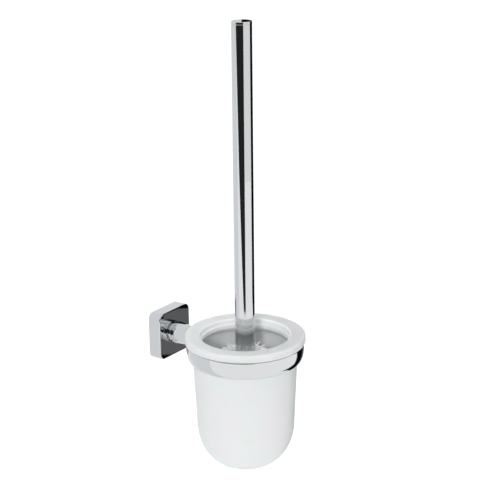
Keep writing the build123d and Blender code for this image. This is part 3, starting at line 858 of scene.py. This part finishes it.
rowNames = sorted(n for n in nodes if n.startswith("bristle_row"))
widestRow = max(nodeBox(n)[1][0] for n in rowNames)
core = makeCore(coreSizes)
settle(core, whitePlastic, "brush_head", ["head_core"])
rng = np.random.default_rng(bristleSizes["seed"])
for number, name in enumerate(rowNames):
    settle(bristleRow(number, name, bristleSizes, rng), nylon, "brush_head", [name])
settle(bristleRow(0, "crown_tuft", crownSizes, rng), nylon, "brush_head", ["crown_tuft"])
settle(endTuft(endTuftSizes, rng), nylon, "brush_head", ["end_tuft"])
print("brush head made")


# the hidden pieces stay as they come in the frame and only get their materials
kept = {"wall_bracket": zinc, "set_screw": steel, "arm_screw": steel, "arm_washer": steel, "handle_stud": steel,
        "handle_insert": whitePlastic}
for name, material in kept.items():
    nodes[name].data.materials.clear()
    nodes[name].data.materials.append(material)
print("frame pieces painted")


stageSizes = {"floorZ": -0.62, "floorHalf": 14.0, "floorTone": "#fbfbfb", "sky": "#ffffff", "skyStrength": 0.76}
# each light: where it comes from, as degrees round from the camera and degrees up, how wide it is, its strength
lightSizes = {"overheadSoft": (150, 62, 60, 0.9), "frontSoft": (-10, 21.5, 8, 1.35)}
everyRay = ("camera", "diffuse", "glossy", "transmission", "shadow", "volume_scatter")
cameraSide = math.atan2(cameraSet["place"][1] - cupAxis[1], cameraSet["place"][0] - cupAxis[0])


def stagePiece(piece, seenBy=everyRay):
    # sets which kinds of ray see a piece of the stage: only those named
    for ray in everyRay:
        setattr(piece, "visible_" + ray, ray in seenBy)


def fromCamera(around, up):
    # direction that is `around` degrees from the camera's own, seen from the cup, and `up` degrees high
    around, up = cameraSide + math.radians(around), math.radians(up)
    return Vector((math.cos(around) * math.cos(up), math.sin(around) * math.cos(up), math.sin(up)))


def makeFloor(sizes):
    # matt white paper far below the object
    half, z = sizes["floorHalf"], sizes["floorZ"]
    points = np.array([(-half, -half, z), (half, -half, z), (half, half, z), (-half, half, z)])
    mesh = bpy.data.meshes.new("floor")
    mesh.from_pydata(points.tolist(), [], [(0, 1, 2, 3)])
    floor = bpy.data.objects.new("floor", mesh)
    bpy.context.scene.collection.objects.link(floor)
    material, tree, shader, place = startMaterial("paperMatt")
    shader.inputs["Base Color"].default_value = linear(sizes["floorTone"])
    shader.inputs["Roughness"].default_value = 0.9
    shader.inputs["Specular IOR Level"].default_value = 0.0
    floor.data.materials.append(material)
    stagePiece(floor)


def makeCard(name, tone, distance, edges, seenBy=("glossy",), steps=24):
    # a card bent round the cup's axis: at each height it runs from its first to its second angle, both in
    # degrees from the camera's side; points are distance (cos, sin) round the axis at that height
    edges = np.array(edges, float)
    share = np.linspace(0, 1, steps + 1)
    angle = cameraSide + np.radians(edges[:, 1:2] + (edges[:, 2:3] - edges[:, 1:2]) * share)
    points = np.stack([cupAxis[0] + distance * np.cos(angle), cupAxis[1] + distance * np.sin(angle),
                       np.broadcast_to(edges[:, :1], angle.shape)], -1)
    finishCard(name, tone, points.reshape(-1, 3), gridFaces(len(edges), steps + 1, closeColumns=False), seenBy)


def makePatch(name, tone, middle, facing, wide, tall):
    # a small flat card, square to the way it faces, that only mirrors see
    facing = Vector(facing).normalized()
    side = facing.cross(Vector((0, 0, 1))).normalized()
    up = side.cross(facing)
    side, up, middle = np.array(side) * wide / 2, np.array(up) * tall / 2, np.array(middle)
    points = np.array([middle - side - up, middle + side - up, middle + side + up, middle - side + up])
    finishCard(name, tone, points, np.array([[0, 1, 2, 3]]), ("glossy",))


def finishCard(name, tone, points, faces, seenBy):
    # black cloth that shines evenly in its own tone, so the card looks the same from all sides
    mesh = bpy.data.meshes.new(name)
    mesh.from_pydata(points.tolist(), [], faces.tolist())
    card = bpy.data.objects.new(name, mesh)
    bpy.context.scene.collection.objects.link(card)
    material, tree, shader, place = startMaterial(name + "Cloth")
    shader.inputs["Base Color"].default_value = linear("#000000")
    shader.inputs["Specular IOR Level"].default_value = 0.0
    shader.inputs["Emission Color"].default_value = linear(tone)
    shader.inputs["Emission Strength"].default_value = 1.0
    card.data.materials.append(material)
    stagePiece(card, seenBy)


def makeSky(sizes):
    world = bpy.data.worlds.new("studio")
    bpy.context.scene.world = world
    world.use_nodes = True
    world.node_tree.nodes["Background"].inputs["Color"].default_value = linear(sizes["sky"])
    world.node_tree.nodes["Background"].inputs["Strength"].default_value = sizes["skyStrength"]


def makeLight(name, around, up, wide, strength):
    # a very far soft light, `wide` degrees across; mirrors don't see it, they see the sky and the cards
    data = bpy.data.lights.new(name, "SUN")
    data.angle = math.radians(wide)
    data.energy = strength
    light = bpy.data.objects.new(name, data)
    bpy.context.scene.collection.objects.link(light)
    light.rotation_mode = "QUATERNION"
    light.rotation_quaternion = fromCamera(around, up).to_track_quat("Z", "Y")
    light.visible_glossy = False


makeFloor(stageSizes)
makeSky(stageSizes)
# Cards round the cup: tone, distance, then (height, first angle, second angle) up the card's edges.
# The side and rear flags are the dark stripes in the handle, the ring and the arm. The side flag slants
# away below, so that its image in the ring is a crescent, and is narrower at the top, where the arm would
# mirror its edge.
makeCard("sideFlag", "#2a2a2a", 1.0, [(-0.332, -9, 13), (-0.3, -15, 13), (-0.255, -22, 13), (-0.215, -28, 14),
                                     (-0.09, -45, 16), (0.165, -67, 19), (0.17, -54, 19), (0.5, -54, 19)])
makeCard("rearFlag", "#0c0c0c", 0.5, [(-0.5, 84, 186), (-0.3, 116, 196), (-0.17, 116, 200), (-0.12, 100, 190),
                                      (-0.08, 100, 180), (0.55, 100, 180)])
# darkens what shows through the glass
makeCard("backFlag", "#141414", 0.6, [(-0.6, 130, 230), (0.25, 130, 230)], seenBy=("transmission",))
# lighten the handle's two sides
makeCard("leftCard", "#f6f7f9", 0.27, [(-0.6, -176, -66), (0.6, -176, -66)])
makeCard("rightCard", "#fdfdfd", 0.27, [(0.09, 20, 96), (0.6, 20, 96)])
# plain white above the floor's far edge
makeCard("horizon", "#ffffff", 13.0, [(-0.62, -180, 180), (14.0, -180, 180)], seenBy=("camera",), steps=96)
# Flat cards that the rosette's face and top mirror: the mirror's flip of x, y and z, tone, how far off the
# card stands, how wide and tall it is, and the point of the rosette that shows its middle.
rosetteLow, rosetteHigh = nodeBox("rosette")
faceMiddle, topMiddle = (0, rosetteLow[1], 0), (0, rosetteLow[1] / 2, rosetteHigh[2])
patches = {"faceCard": ((1, -1, 1), "#6a6a6a", 0.18, 0.034, 0.049, faceMiddle),
           "faceFrame": ((1, -1, 1), "#060606", 0.184, 0.07, 0.085, faceMiddle),
           "topCard": ((1, 1, -1), "#e0e1e3", 0.25, 0.09, 0.07, topMiddle)}
for name, (flip, tone, distance, wide, tall, start) in patches.items():
    ahead = np.array(start) - np.array(cameraSet["place"])
    toward = ahead / np.linalg.norm(ahead) * flip
    makePatch(name, tone, np.array(start) + toward * distance, -toward, wide, tall)
for name, (around, up, wide, strength) in lightSizes.items():
    makeLight(name, around, up, wide, strength)
bpy.context.scene.view_settings.view_transform = "Standard"
print("stage set")
